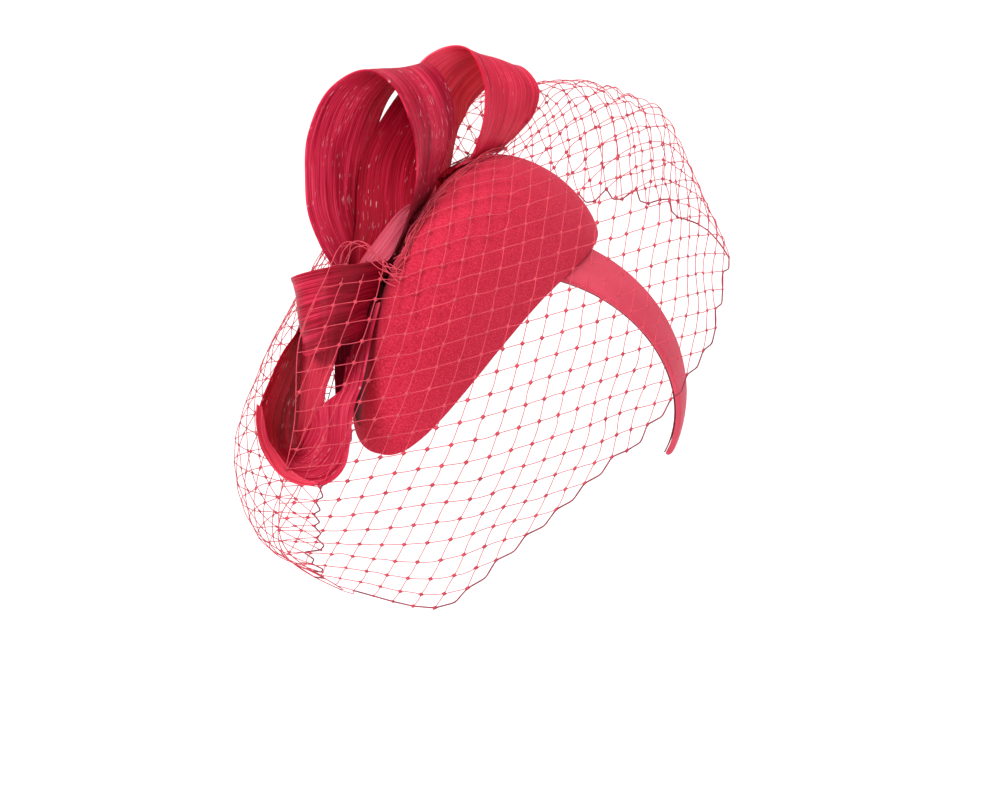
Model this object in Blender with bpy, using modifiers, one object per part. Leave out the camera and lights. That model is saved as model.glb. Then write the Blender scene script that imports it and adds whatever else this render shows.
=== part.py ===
"""Felt percher hat with a looped bow and a face veil, sewn on a covered headband.

Metres, +Z up. The origin is on the head side of the band at its crown, +X is the wearer's
left and -Y is the wearer's front. The band stands in the XZ plane.
"""
import math

import bmesh
import bpy
import numpy as np
from mathutils import Vector

MM = 0.001

# Headband: an arc of one radius, wide at the crown and narrow at the tips.
BAND_RADIUS = 70.5 * MM            # head side of the band
BAND_FLAT = 6.0 * MM               # half length of the flat stretch at the crown
BAND_SWEEP = math.radians(112)     # crown to tip
BAND_CROWN_WIDTH = 40.0 * MM
BAND_TIP_WIDTH = 6.5 * MM
BAND_TAPER = 0.9
LINING_THICK = 0.6 * MM
COVER_THICK = 0.5 * MM
CORE_THICK = 1.0 * MM
GAP = 0.35 * MM                    # between pieces that touch
LINING_IN = 1.6 * MM               # the lining stops this far from the band's edge
FLAP_SHARE = 0.26                  # of the band's width, turned in under each edge
HINGE_LEFT = math.radians(17)      # where the arms start to flex
HINGE_RIGHT = math.radians(39)
ARM_GAP = 0.45 * MM                # half the cut between the middle and an arm
CORE_SHORT = math.radians(3)       # the core stops this far before the tip

# Hat: its own frame, long axis from back to front, side axis to the wearer's left, and up.
HAT_CENTRE = Vector((-29.0, -33.0, 1.9)) * MM
HAT_LONG = Vector((-0.187, -0.953, -0.238)).normalized()
HAT_UP = Vector((-0.113, -0.220, 0.969))
HAT_HALF_LENGTH = 92.0 * MM
HAT_HALF_WIDTH = 42.6 * MM
HAT_HEIGHT = 51.0 * MM
HAT_NARROWING = 0.26               # towards the front tip
HAT_SQUARENESS = 2.4
HAT_BEND = 147.0 * MM              # radius of the bend along the length
HAT_SIDE_BEND = 160.0 * MM         # the near side's radius, and the far side's
HAT_FAR_BEND = 50.0 * MM
FELT_THICK = 2.4 * MM
TRENCH_DEPTH = 13.0 * MM
TRENCH_SIDE = -17.0 * MM
TRENCH_HALF = 9.0 * MM

STRIP_THICK = 0.9 * MM             # a folded double layer of silk abaca
NET_THICK = 1.2 * MM
NET_CLEAR = 3.0 * MM               # the net lies this far off the felt

# Loops of the bow: the strip's near edge and far edge, in mm.
LOOP_TALL = (
    ((-66, -84, 34), (-64, -66, 30)),
    ((-73, -87, 45), (-67, -60, 36)),
    ((-80, -86, 58), (-70, -49, 45)),
    ((-84, -80, 72), (-71, -42, 57)),
    ((-85, -71, 88), (-68, -32, 72)),
    ((-79, -59, 105), (-63, -21, 88)),
    ((-65, -50, 113), (-50, -10, 101)),
    ((-51, -50, 107), (-39, -10, 92)),
    ((-41, -55, 90), (-34, -16, 76)),
    ((-38, -62, 71), (-36, -26, 60)),
    ((-41, -69, 54), (-42, -38, 48)),
    ((-48, -76, 43), (-49, -50, 40)),
)
LOOP_REAR = (
    ((-41, -23, 52), (-42, -2, 46)),
    ((-47, -22, 60), (-46, 8, 52)),
    ((-54, -18, 72), (-47, 16, 60)),
    ((-57, -12, 86), (-44, 23, 67)),
    ((-53, -4, 98), (-34, 30, 75)),
    ((-43, 3, 104), (-26, 37, 82)),
    ((-32, 5, 103), (-16, 40, 82)),
    ((-24, 2, 92), (-8, 38, 74)),
    ((-22, -4, 78), (-9, 32, 65)),
    ((-26, -13, 66), (-22, 15, 60)),
    ((-33, -18, 57), (-34, 2, 54)),
)
LOOP_LOW = (
    ((-80, -118, 2), (-79, -96, -6)),
    ((-85, -124, -7), (-82, -92, -16)),
    ((-90, -131, -17), (-84, -92, -30)),
    ((-91, -140, -28), (-83, -97, -42)),
    ((-86, -146, -38), (-81, -104, -50)),
    ((-76, -148, -45), (-77, -110, -55)),
    ((-62, -148, -47), (-71, -117, -53)),
    ((-53, -145, -41), (-66, -122, -46)),
    ((-50, -141, -30), (-64, -125, -36)),
    ((-52, -136, -19), (-63, -124, -26)),
)
LOOP_LOW_TAIL = (
    ((-66, -126, 5), (-74, -118, 2)),
    ((-69, -128, -6), (-77, -120, -10)),
    ((-73, -130, -18), (-79, -121, -23)),
    ((-75, -134, -30), (-79, -123, -35)),
)
KNOT = (
    ((-50, -92, 38), (-48, -112, 14)),
    ((-54, -101, 43), (-52, -122, 15)),
    ((-65, -108, 45), (-60, -128, 15)),
    ((-77, -108, 41), (-71, -127, 12)),
    ((-85, -102, 34), (-78, -119, 8)),
    ((-85, -92, 28), (-80, -107, 4)),
    ((-79, -85, 25), (-76, -98, 3)),
)
TALL_INNER = (
    ((-62, -78, 36), (-61, -64, 33)),
    ((-63, -76, 48), (-60, -56, 42)),
    ((-63, -70, 62), (-59, -47, 54)),
    ((-61, -64, 76), (-57, -41, 66)),
    ((-58, -58, 88), (-54, -37, 79)),
)
TRENCH_STRIP = (
    ((-34, -26, 54), (-42, -20, 46)),
    ((-31, -10, 52), (-39, -5, 46)),
    ((-27, 4, 48), (-36, 8, 43)),
)
SIDE_STRIP = (
    ((-60, -88, 26), (-66, -80, 18)),
    ((-64, -100, 12), (-70, -92, 4)),
    ((-64, -110, -2), (-71, -103, -10)),
    ((-60, -117, -16), (-68, -111, -24)),
    ((-55, -121, -30), (-64, -116, -37)),
)

# Veil: stations around it, each from the gather through shoulder and bulge to the rim, in mm.
VEIL = (
    ((-42, -86, 32), (-26, -108, 8), (-12, -134, -40), (-3, -138, -115)),
    ((-39, -79, 37), (-11, -97, 18), (23, -111, -33), (41, -101, -81)),
    ((-37, -65, 43), (3, -70, 28), (43, -73, -18), (69, -62, -59)),
    ((-34, -52, 48), (15, -34, 38), (58, -26, 0), (85, -16, -50)),
    ((-29, -34, 52), (20, 1, 51), (62, 27, 17), (88, 50, -30)),
    ((-23, -12, 52), (19, 40, 59), (55, 77, 24), (66, 96, -32)),
    ((-19, 14, 50), (-2, 60, 63), (24, 112, 34), (28, 118, -32)),
    ((-28, 24, 44), (-46, 54, 54), (-42, 106, 28), (-21, 118, -46)),
    ((-47, -4, 38), (-78, 12, 36), (-98, 54, -10), (-65, 81, -75)),
    ((-54, -44, 30), (-92, -36, 4), (-124, -22, -54), (-85, -9, -121)),
    ((-58, -62, 26), (-99, -62, -16), (-122, -94, -68), (-75, -83, -130)),
    ((-50, -84, 28), (-60, -122, -8), (-88, -140, -84), (-48, -126, -122)),
)
SLIT = (9.9, 11.6, 0.60)           # stations and depth of the slit that the low loop comes through
RIM_RADIUS = 0.6 * MM
GATHER_RADIUS = 0.7 * MM

COLOURS = {
    "felt": ((0.62, 0.03, 0.075, 1), 0.95),
    "crepe": ((0.70, 0.05, 0.11, 1), 0.75),
    "lining": ((0.42, 0.02, 0.05, 1), 0.90),
    "abaca": ((0.52, 0.02, 0.06, 1), 0.50),
    "net": ((0.80, 0.14, 0.20, 1), 0.60),
    "thread": ((0.60, 0.04, 0.08, 1), 0.70),
    "core_plastic": ((0.85, 0.84, 0.80, 1), 0.45),
    "wire": ((0.85, 0.82, 0.80, 1), 0.40),
}


def clear_scene():
    for obj in list(bpy.data.objects):
        bpy.data.objects.remove(obj, do_unlink=True)


def collection(name):
    made = bpy.data.collections.new(name)
    bpy.context.scene.collection.children.link(made)
    return made


def material(name):
    mat = bpy.data.materials.get(name)
    if mat is None:
        mat = bpy.data.materials.new(name)
        mat.use_nodes = True
        colour, rough = COLOURS[name]
        shader = mat.node_tree.nodes["Principled BSDF"]
        shader.inputs["Base Color"].default_value = colour
        shader.inputs["Roughness"].default_value = rough
        shader.inputs["Metallic"].default_value = 1.0 if name == "wire" else 0.0
    return mat


def place(obj, mat, parent=None):
    """Give a piece its material, and its parent empty where it moves."""
    obj.data.materials.append(material(mat))
    PARTS.objects.link(obj)
    if parent is not None:
        obj.parent = parent
    return obj


def local(point, parent):
    return Vector(point) - (parent.location if parent is not None else Vector((0, 0, 0)))


def sheet(name, rows, thick, mat, parent=None, offset=0.0, ring=False):
    """A sheet through rows of points, made solid by a Solidify modifier."""
    bm = bmesh.new()
    grid = [[bm.verts.new(local(point, parent)) for point in row] for row in rows]
    steps = len(grid) if ring else len(grid) - 1
    for i in range(steps):
        here, there = grid[i], grid[(i + 1) % len(grid)]
        for j in range(len(here) - 1):
            bm.faces.new((here[j], here[j + 1], there[j + 1], there[j]))
    mesh = bpy.data.meshes.new(name)
    bm.to_mesh(mesh)
    bm.free()
    obj = place(bpy.data.objects.new(name, mesh), mat, parent)
    solid = obj.modifiers.new("Thickness", "SOLIDIFY")
    solid.thickness = thick
    solid.offset = offset
    solid.use_even_offset = True
    return obj


def tube(name, points, radius, mat, cyclic=False):
    """A thread or wire as a bevelled curve with closed ends."""
    curve = bpy.data.curves.new(name, "CURVE")
    curve.dimensions = "3D"
    curve.bevel_depth = radius
    curve.bevel_resolution = 1
    curve.use_fill_caps = True
    spline = curve.splines.new("POLY")
    spline.points.add(len(points) - 1)
    for control, point in zip(spline.points, points):
        control.co = (*point, 1.0)
    spline.use_cyclic_u = cyclic
    return place(bpy.data.objects.new(name, curve), mat)


def smooth(stations, at):
    """A Catmull-Rom curve through the stations, at a position counted in stations."""
    last = len(stations) - 1
    low = min(int(at), last - 1)
    f = at - low
    p = [np.asarray(stations[min(max(low + k, 0), last)], float) for k in (-1, 0, 1, 2)]
    return 0.5 * (2 * p[1] + (p[2] - p[0]) * f + (2 * p[0] - 5 * p[1] + 4 * p[2] - p[3]) * f * f
                  + (3 * p[1] - p[0] - 3 * p[2] + p[3]) * f ** 3)


# ---------------------------------------------------------------- headband

def band_width(angle):
    share = 1.0 - min(abs(angle) / BAND_SWEEP, 1.0)
    return BAND_TIP_WIDTH + (BAND_CROWN_WIDTH - BAND_TIP_WIDTH) * share ** BAND_TAPER


def band_point(angle, lift, side):
    """A point on the band: angle from the crown, lift off the head side, side along Y."""
    if angle == 0.0:
        return Vector((0.0, side, lift))
    start = math.asin(BAND_FLAT / BAND_RADIUS)
    angle = math.copysign(max(abs(angle), start), angle)
    drop = BAND_RADIUS * math.cos(start)
    reach = BAND_RADIUS + lift
    return Vector((reach * math.sin(angle), side, reach * math.cos(angle) - drop))


def band_angles(first, last):
    """Even steps of about six degrees, with the ends of the flat stretch kept."""
    steps = max(2, round(abs(last - first) / math.radians(6.5)))
    flat = math.asin(BAND_FLAT / BAND_RADIUS)
    found = [first + (last - first) * i / steps for i in range(steps + 1)]
    if first < -flat and last > flat:
        found = [a for a in found if abs(a) > flat * 1.3] + [-flat, flat]
    return sorted(found)


def strip_across(angle, lift, half):
    return [band_point(angle, lift, side) for side in (-half, 0.0, half)]


def cover_across(angle, base):
    """The wrapped cover in section: flap, edge, outer face, edge and flap."""
    half = band_width(angle) / 2 - COVER_THICK / 2
    flap = band_width(angle) * FLAP_SHARE
    low = base + COVER_THICK / 2
    high = low + COVER_THICK + CORE_THICK + 2 * GAP
    route = ((low, -half + flap), (low, -half), (high, -half), (high, 0.0), (high, half), (low, half),
             (low, half - flap))
    return [band_point(angle, lift, side) for lift, side in route]


def band_section(tag, first, last, parent=None):
    """Lining, core and cover over one stretch of the band."""
    angles = band_angles(first, last)
    short = BAND_SWEEP - CORE_SHORT
    core_angles = sorted({max(-short, min(short, a)) for a in angles})
    cover_base = LINING_THICK + GAP
    core_mid = cover_base + COVER_THICK + GAP + CORE_THICK / 2
    cover_edge = COVER_THICK + GAP
    inner = [strip_across(a, LINING_THICK / 2, band_width(a) / 2 - LINING_IN) for a in angles]
    sheet("band_lining_" + tag, inner, LINING_THICK, "lining", parent)
    core = [strip_across(a, core_mid, band_width(a) / 2 - cover_edge) for a in core_angles]
    sheet("band_core_" + tag, core, CORE_THICK, "core_plastic", parent)
    wrapped = [cover_across(a, cover_base) for a in angles]
    sheet("band_cover_" + tag, wrapped, COVER_THICK, "crepe", parent)


def hinge_point(angle):
    middle = LINING_THICK + COVER_THICK + 2 * GAP + CORE_THICK / 2
    return band_point(angle, middle, 0.0)


def arm_axis(name, angle):
    empty = bpy.data.objects.new(name, None)
    empty.location = hinge_point(angle)
    PARTS.objects.link(empty)
    return empty


def headband():
    cut = ARM_GAP / BAND_RADIUS
    left = arm_axis("band_left_axis", HINGE_LEFT)
    right = arm_axis("band_right_axis", -HINGE_RIGHT)
    band_section("middle", -HINGE_RIGHT + cut, HINGE_LEFT - cut)
    band_section("left", HINGE_LEFT + cut, BAND_SWEEP, left)
    band_section("right", -BAND_SWEEP, -HINGE_RIGHT - cut, right)


# ---------------------------------------------------------------- hat

HAT_UP = (HAT_UP - HAT_LONG * HAT_UP.dot(HAT_LONG)).normalized()
HAT_SIDE = HAT_UP.cross(HAT_LONG)


def hat_drop(a, b):
    """How far the bend lowers the hat at a place in its own plane."""
    bend = HAT_SIDE_BEND if b > 0 else HAT_FAR_BEND
    return a * a / (2 * HAT_BEND) + b * b / (2 * bend)


def hat_reach(a, b, inset=0.0):
    """0 on the long axis's middle, 1 on the outline."""
    along = a / (HAT_HALF_LENGTH - inset)
    width = (HAT_HALF_WIDTH - inset) * (1 - HAT_NARROWING * max(-1.0, min(1.0, along)))
    return (abs(along) ** HAT_SQUARENESS + abs(b / width) ** HAT_SQUARENESS) ** (1 / HAT_SQUARENESS)


def hat_height(a, b, inset=0.0, cut=0.0):
    """The dome's height over the hat's plane, with the trench that the bow sits in."""
    reach = min(hat_reach(a, b, inset), 1.0)
    dome = (HAT_HEIGHT - cut) * (1 - reach ** 3) ** 0.6
    trench = TRENCH_DEPTH * math.exp(-((b - TRENCH_SIDE) / TRENCH_HALF) ** 2)
    return dome - trench * min(1.0, dome / HAT_HEIGHT * 1.4) - hat_drop(a, b)


def from_hat(a, b, up):
    return HAT_CENTRE + HAT_LONG * a + HAT_SIDE * b + HAT_UP * up


def outline(turn, inset=0.0):
    """The hat's outline in its own plane, a rounded teardrop."""
    power = 2 / HAT_SQUARENESS
    c, s = math.cos(turn), math.sin(turn)
    along = math.copysign(abs(c) ** power, c)
    across = math.copysign(abs(s) ** power, s)
    return ((HAT_HALF_LENGTH - inset) * along,
            (HAT_HALF_WIDTH - inset) * across * (1 - HAT_NARROWING * along))


def lifted(point, clear):
    """Keep a point of the net or of a strip above the felt."""
    point = Vector(point)
    rel = point - HAT_CENTRE
    a, b, up = rel.dot(HAT_LONG), rel.dot(HAT_SIDE), rel.dot(HAT_UP)
    if hat_reach(a, b) > 1.04 or up < -HAT_HEIGHT:
        return point
    return point + HAT_UP * max(0.0, hat_height(a, b) + clear - up)


def dome_rows(inset, cut, bottom, turns=36):
    """Rings from the rim to just short of the crown, then the crown itself closes."""
    rings = []
    for share in (1.0, 0.985, 0.95, 0.88, 0.76, 0.60, 0.42, 0.22):
        ring = []
        for k in range(turns):
            a, b = outline(2 * math.pi * k / turns, inset)
            a, b = a * share, b * share
            up = hat_height(a, b, inset, cut)
            ring.append(from_hat(a, b, up + (bottom if share == 1.0 else 0.0)))
        rings.append(ring)
    crown = from_hat(0.0, 0.0, hat_height(0.0, 0.0, inset, cut))
    return rings, crown


def dome(name, inset, cut, bottom, thick, mat):
    """A dome over the teardrop outline, made solid towards the inside."""
    rings, crown = dome_rows(inset, cut, bottom)
    bm = bmesh.new()
    grid = [[bm.verts.new(point) for point in ring] for ring in rings]
    top = bm.verts.new(crown)
    turns = len(grid[0])
    for low, high in zip(grid, grid[1:]):
        for k in range(turns):
            bm.faces.new((low[k], low[(k + 1) % turns], high[(k + 1) % turns], high[k]))
    for k in range(turns):
        bm.faces.new((grid[-1][k], grid[-1][(k + 1) % turns], top))
    bmesh.ops.recalc_face_normals(bm, faces=bm.faces)
    mesh = bpy.data.meshes.new(name)
    bm.to_mesh(mesh)
    bm.free()
    obj = place(bpy.data.objects.new(name, mesh), mat)
    solid = obj.modifiers.new("Thickness", "SOLIDIFY")
    solid.thickness = thick
    solid.offset = -1.0
    return obj


def hat_ring(inset, up, turns=48):
    ring = []
    for k in range(turns):
        a, b = outline(2 * math.pi * k / turns, inset)
        ring.append(from_hat(a, b, up - hat_drop(a, b)))
    return ring


def hat():
    dome("hat_shell", 0.0, 0.0, 0.0, FELT_THICK, "felt")
    dome("hat_lining", 12.5 * MM, 8.0 * MM, 1.0 * MM, 0.6 * MM, "lining")
    tube("hat_edge_wire", hat_ring(5.0 * MM, 2.4 * MM), 0.6 * MM, "wire", cyclic=True)
    low, high = hat_ring(8.6 * MM, 1.2 * MM, 40), hat_ring(9.8 * MM, 10.0 * MM, 40)
    rows = [[a, b] for a, b in zip(low, high)]
    sheet("hat_sweatband", rows, 0.7 * MM, "lining", ring=True)


# ---------------------------------------------------------------- bow

def strip(name, route, mat="abaca", steps=3, across=4):
    """A strip of abaca through pairs of edge points, clear of the felt."""
    rows = []
    for i in range((len(route) - 1) * steps + 1):
        near = smooth([pair[0] for pair in route], i / steps)
        far = smooth([pair[1] for pair in route], i / steps)
        row = [Vector((near + (far - near) * j / across) * MM) for j in range(across + 1)]
        rows.append([lifted(point, 1.6 * MM) for point in row])
    return sheet(name, rows, STRIP_THICK, mat)


def bow():
    strip("loop_tall", LOOP_TALL, steps=2)
    strip("loop_tall_inner", TALL_INNER, steps=2)
    strip("loop_rear", LOOP_REAR, steps=2)
    strip("loop_low", LOOP_LOW, steps=2)
    strip("loop_low_tail", LOOP_LOW_TAIL, steps=2)
    strip("bow_knot", KNOT, steps=3)
    strip("trench_strip", TRENCH_STRIP, steps=2, across=2)
    strip("side_strip", SIDE_STRIP, steps=2, across=2)


# ---------------------------------------------------------------- veil

def veil_point(station, depth):
    """A point of the net: station around it, depth 0 at the gather and 1 at the rim."""
    count = len(VEIL)
    low = int(math.floor(station))
    around = []
    for level in range(4):
        four = [VEIL[(low + k) % count][level] for k in (-1, 0, 1, 2)]
        around.append(smooth(four, 1.0 + station - low))
    return lifted(Vector(smooth(around, depth * 3) * MM), NET_CLEAR)


def in_slit(station, depth):
    first, last, deep = SLIT
    return first < station < last and depth < deep


def veil(per_station=4, deep=12):
    """The net's outer shape as one thin shell, with the slit and the open rim."""
    count = len(VEIL) * per_station
    depths = [0.03 + 0.94 * j / deep for j in range(deep + 1)]
    bm = bmesh.new()
    grid = []
    for i in range(count):
        grid.append([bm.verts.new(veil_point(i / per_station, depth)) for depth in depths])
    for i in range(count):
        for j in range(deep):
            if in_slit((i + 0.5) / per_station, (depths[j] + depths[j + 1]) / 2):
                continue
            there = grid[(i + 1) % count]
            bm.faces.new((grid[i][j], grid[i][j + 1], there[j + 1], there[j]))
    loose = [vert for vert in bm.verts if not vert.link_faces]
    bmesh.ops.delete(bm, geom=loose, context="VERTS")
    bmesh.ops.recalc_face_normals(bm, faces=bm.faces)
    mesh = bpy.data.meshes.new("veil_net")
    bm.to_mesh(mesh)
    bm.free()
    obj = place(bpy.data.objects.new("veil_net", mesh), "net")
    solid = obj.modifiers.new("Thickness", "SOLIDIFY")
    solid.thickness = NET_THICK
    solid.offset = 0.0


def veil_threads():
    count = len(VEIL)
    rim = [veil_point(count * k / 60, 1.0) for k in range(60)]
    tube("veil_border_cord", rim, RIM_RADIUS, "thread", cyclic=True)
    first, last = SLIT[1] - count + 0.1, SLIT[0] - 0.1
    gather = [veil_point(first + (last - first) * k / 40, 0.0) for k in range(41)]
    tube("veil_gather_thread", gather, GATHER_RADIUS, "thread")


clear_scene()
PARTS = collection("fascinator_headpiece")
headband()
hat()
bow()
veil()
veil_threads()
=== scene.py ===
"""Looks of the felt percher hat with its bow and face veil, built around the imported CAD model."""
import math

import bmesh
import bpy
import numpy as np
from mathutils import Matrix, Vector


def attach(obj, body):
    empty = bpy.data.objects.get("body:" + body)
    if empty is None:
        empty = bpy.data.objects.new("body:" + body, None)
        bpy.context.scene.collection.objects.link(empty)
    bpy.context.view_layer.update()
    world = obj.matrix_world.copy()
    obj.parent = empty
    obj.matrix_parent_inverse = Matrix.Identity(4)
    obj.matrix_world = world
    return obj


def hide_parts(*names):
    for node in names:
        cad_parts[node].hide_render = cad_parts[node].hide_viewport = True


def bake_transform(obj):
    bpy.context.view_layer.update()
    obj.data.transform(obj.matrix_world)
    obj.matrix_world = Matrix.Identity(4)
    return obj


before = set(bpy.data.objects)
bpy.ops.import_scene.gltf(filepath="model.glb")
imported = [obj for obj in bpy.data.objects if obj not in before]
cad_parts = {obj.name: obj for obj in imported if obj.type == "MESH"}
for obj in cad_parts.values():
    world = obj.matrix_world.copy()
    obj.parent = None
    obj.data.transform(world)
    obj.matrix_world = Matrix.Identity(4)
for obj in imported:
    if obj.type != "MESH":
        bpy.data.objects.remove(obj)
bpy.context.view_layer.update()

MM = 0.001

# Headband, as in the CAD.
BAND_RADIUS = 70.5 * MM
BAND_FLAT = 6.0 * MM
BAND_SWEEP = math.radians(112)
BAND_CROWN_WIDTH = 40.0 * MM
BAND_TIP_WIDTH = 6.5 * MM
BAND_TAPER = 0.9
HINGE_LEFT = math.radians(17)
HINGE_RIGHT = math.radians(39)
BLEND_HALF = math.radians(5)       # half of the stretch that bends at a hinge
BAND_TIP = 2.4 * MM                # how far the cloth goes past the core's tip
COVER_LIFT = (1.2 * MM, 3.4 * MM)  # the cover's inner and outer face, off the head side
COVER_HEM = 1.05 * MM

# Hat, as in the CAD.
HAT_CENTRE = np.array((-29.0, -33.0, 1.9)) * MM
HAT_LONG = np.array((-0.187, -0.953, -0.238))
HAT_LONG = HAT_LONG / np.linalg.norm(HAT_LONG)
HAT_UP = np.array((-0.113, -0.220, 0.969))
HAT_UP = HAT_UP - HAT_LONG * HAT_UP.dot(HAT_LONG)
HAT_UP = HAT_UP / np.linalg.norm(HAT_UP)
HAT_SIDE = np.cross(HAT_UP, HAT_LONG)
HAT_HALF_LENGTH = 92.0 * MM
HAT_HALF_WIDTH = 42.6 * MM
HAT_HEIGHT = 51.0 * MM
HAT_NARROWING = 0.26
HAT_SQUARENESS = 2.4
HAT_BEND = 147.0 * MM
HAT_SIDE_BEND = 160.0 * MM
HAT_FAR_BEND = 50.0 * MM
FELT_THICK = 2.4 * MM
TRENCH_DEPTH = 22.0 * MM           # the CAD solid stops at 13
TRENCH_SIDE = -17.0 * MM
TRENCH_HALF = 9.4 * MM
CREASE_SHADE_WIDTH = 0.85                # width of the felt's painted shade along the trench, in shares of TRENCH_HALF
CREASE_SHADE_REACH = 0.97                # and how far out it goes, in shares of the hat's outline
LINING_INSET = 12.5 * MM
LINING_CUT = 8.0 * MM
RIBBON_WIDTH = 9.0 * MM
SEWING_RADIUS = 0.22 * MM          # of the thread

# Abaca strips.
STRIP_ROWS = 10                    # rows of faces between two stations
PLEAT_REACH = 13 * MM
STRIP_CLEAR = 1.6 * MM             # how far the strips, and the net, stay above the felt
NET_CLEAR = 2.2 * MM

# Each strip's stations: x, y and z in mm on one of its edges, then on the other.
LOOP_TALL = (
    -60, -84, 8, -58, -68, 8,  -66, -88, 21, -63, -70, 18,  -70, -89, 32, -68, -70, 25,
    -75, -90, 43, -68, -62, 32,  -81, -87, 57, -70, -50, 44,  -84, -80, 71, -71, -42, 57,
    -85, -71, 88, -68, -32, 72,  -79, -59, 105, -63, -21, 88,  -65, -50, 113, -50, -10, 101,
    -51, -50, 107, -39, -10, 92,  -41, -55, 90, -34, -16, 76,  -37, -62, 72, -37, -28, 58,
    -39, -69, 54, -40, -38, 47,  -45, -78, 35, -47, -51, 37,  -51, -80, 20, -52, -58, 22,
)
LOOP_REAR = (
    -44, -24, 30, -42, -8, 30,  -41, -22, 45, -41, -3, 42,  -48, -21, 57, -42, 13, 55,
    -54, -18, 70, -41, 23, 60,  -57, -12, 86, -39, 28, 65,  -53, -4, 98, -33, 33, 72,
    -43, 3, 104, -26, 37, 81,  -32, 5, 103, -16, 39, 81,  -24, 1, 91, -8, 37, 72,
    -22, -4, 78, -9, 33, 61,  -23, -10, 67, -14, 26, 54,  -26, -14, 58, -21, 16, 48,
    -31, -18, 49, -27, 3, 43,  -40, -20, 36, -37, -3, 33,
)
LOOP_LOW = (
    -67, -99, 17, -66, -88, 6,  -78, -107, 14, -78, -93, 0,  -81, -113, 8, -81, -92, -8,
    -85, -119, 2, -82, -92, -16,  -89, -125, -8, -84, -93, -28,  -92, -134, -19, -85, -97, -40,
    -91, -141, -29, -85, -103, -48,  -86, -146, -37, -85, -108, -52,  -78, -148, -45, -83, -113, -52,
    -67, -149, -47, -80, -117, -49,  -56, -148, -45, -77, -120, -42,  -49, -145, -37, -72, -121, -32,
    -48, -139, -26, -69, -121, -26,  -49, -132, -18, -65, -120, -21,  -49, -126, -13, -61, -117, -18,
    -48, -120, -8, -59, -113, -16,  -48, -110, 1, -60, -103, -7,  -48, -102, 9, -60, -94, 1,
    -47, -93, 19, -58, -85, 10,
)
LOOP_LOW_TAIL = (
    -60, -114, 13, -79, -103, 3,  -60, -117, 5, -80, -105, -4,  -63, -119, -6, -81, -108, -16,
    -66, -119, -15, -81, -111, -27,  -68, -118, -27, -82, -113, -38,  -70, -117, -38, -83, -114, -48,
    -72, -115, -47, -84, -114, -57,
)
KNOT = (
    -52, -80, 22, -56, -98, -2,  -47, -80, 33, -54, -105, 6,  -53, -99, 41, -55, -120, 12,
    -64, -109, 43, -60, -129, 13,  -76, -110, 39, -67, -127, 9,  -84, -105, 33, -74, -122, 4,
    -86, -95, 27, -78, -109, 1,  -80, -87, 23, -76, -99, 0,  -69, -83, 14, -67, -94, -6,
    -59, -81, 4, -59, -90, -12,
)
TALL_INNER = (
    -66, -78, 21, -46, -77, 27,  -68, -69, 30, -45, -68, 33,  -68, -60, 41, -43, -54, 42,
    -70, -51, 53, -41, -42, 52,  -70, -42, 65, -41, -30, 61,  -66, -33, 76, -41, -20, 71,
    -60, -24, 87, -42, -12, 81,  -54, -18, 96, -44, -9, 89,
)
TRENCH_STRIP = (
    -34, -26, 54, -42, -20, 46,  -31, -10, 52, -39, -5, 46,  -27, 4, 48, -36, 8, 43,
)
SIDE_STRIP = (
    -60, -98, 9, -69, -94, 3,  -60, -101, -1, -69, -95, -5,  -59, -104, -10, -68, -98, -14,
    -59, -107, -18, -67, -102, -24,  -59, -110, -25, -66, -105, -31,
)
LOW_RIM = (
    -92, -137, -16, -91, -135, -18,  -91, -142, -22, -89, -138, -25,  -88, -147, -28, -86, -142, -31,
    -83, -151, -34, -80, -145, -37,  -77, -154, -40, -73, -148, -42,  -69, -154, -44, -66, -149, -45,
    -62, -152, -45, -60, -150, -45,
)
PALE_STRIP = (
    -58, -86, 33, -50, -86, 31,  -58, -83, 35, -48, -83, 33,  -53, -75, 42, -45, -75, 37,
    -47, -65, 50, -42, -65, 45,  -42, -59, 53, -41, -58, 51,
)
# Loose ends of net thread round the gather.
ENDS = (
    ((-62, -102, 40), (-62, -99, 45), (-59, -96, 49), (-56, -94, 50), (-52, -94, 49), (-50, -95, 46)),
    ((-62, -101, 42), (-61, -97, 47), (-57, -95, 50), (-54, -94, 50), (-50, -94, 48), (-46, -95, 43)),
    ((-59, -101, 40), (-58, -97, 46), (-55, -95, 48), (-51, -94, 48), (-47, -95, 44)),
    ((-62, -106, 33), (-61, -102, 39), (-59, -98, 45), (-56, -96, 48), (-53, -95, 48)),
    ((-49, -97, 42), (-45, -97, 39), (-39, -97, 37), (-35, -95, 37)),
    ((-47, -96, 43), (-43, -96, 40), (-38, -95, 39), (-34, -95, 38)),
    ((-44, -96, 42), (-41, -97, 38), (-37, -97, 36), (-32, -96, 36)),
    ((-43, -97, 39), (-39, -97, 36), (-35, -98, 33)),
    ((-45, -98, 38), (-42, -99, 34), (-37, -99, 32)),
    ((-41, -95, 41), (-38, -95, 39), (-37, -97, 36)),
)

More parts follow.
